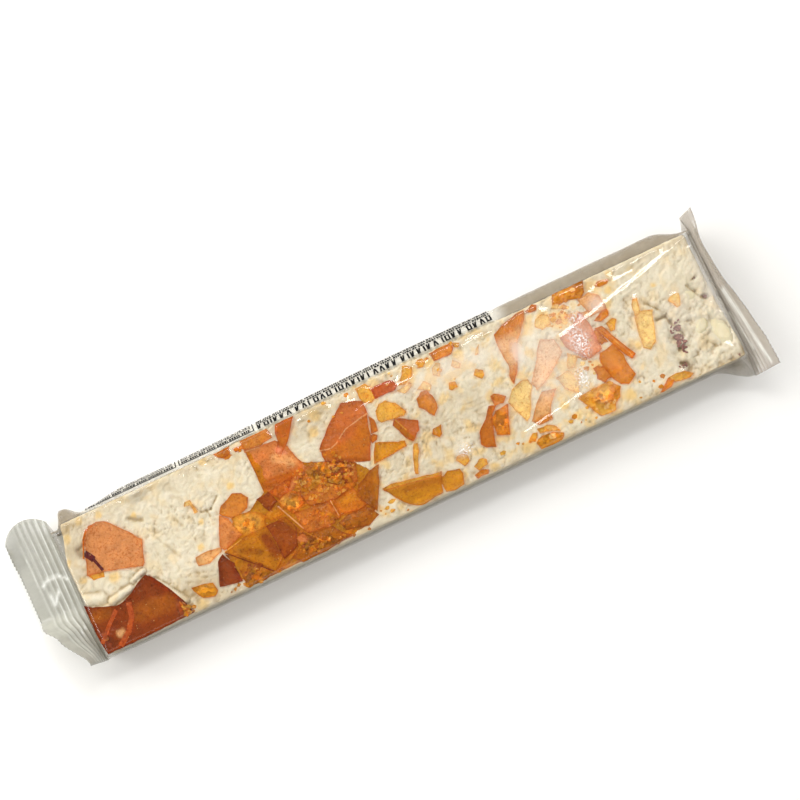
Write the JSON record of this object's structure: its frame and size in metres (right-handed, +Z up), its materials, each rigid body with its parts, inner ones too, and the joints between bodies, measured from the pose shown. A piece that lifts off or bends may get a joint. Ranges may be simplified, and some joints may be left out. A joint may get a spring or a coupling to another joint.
{
  "type": "wrapped nougat bar",
  "caption": "Long slab of soft white nougat with amber caramel shards pressed into its top, sealed in a clear flow pack with crimped end fins.",
  "frame": {"origin": "middle of the flat underside of the bar, on the surface it lies on", "axes": "+X along the bar to the end whose fin stands up, +Y across the bar to the printed long side, +Z up out of the top with the caramel"},
  "size_m": [0.2088, 0.0487, 0.0187],
  "materials": {
    "nougat": "soft cream-white nougat, kneaded and slightly uneven, satin",
    "caramel": "clear hard caramel from pale yellow through amber to deep brown, glossy",
    "nut": "bits of nut with brown skin, matt",
    "film": "thin clear film, glossy, crimped and greyer at the ends",
    "print": "dark ink marks on the clear film"
  },
  "bodies": {
    "root": {"sealed_bar": "nougat"}
  },
  "joints": []
}
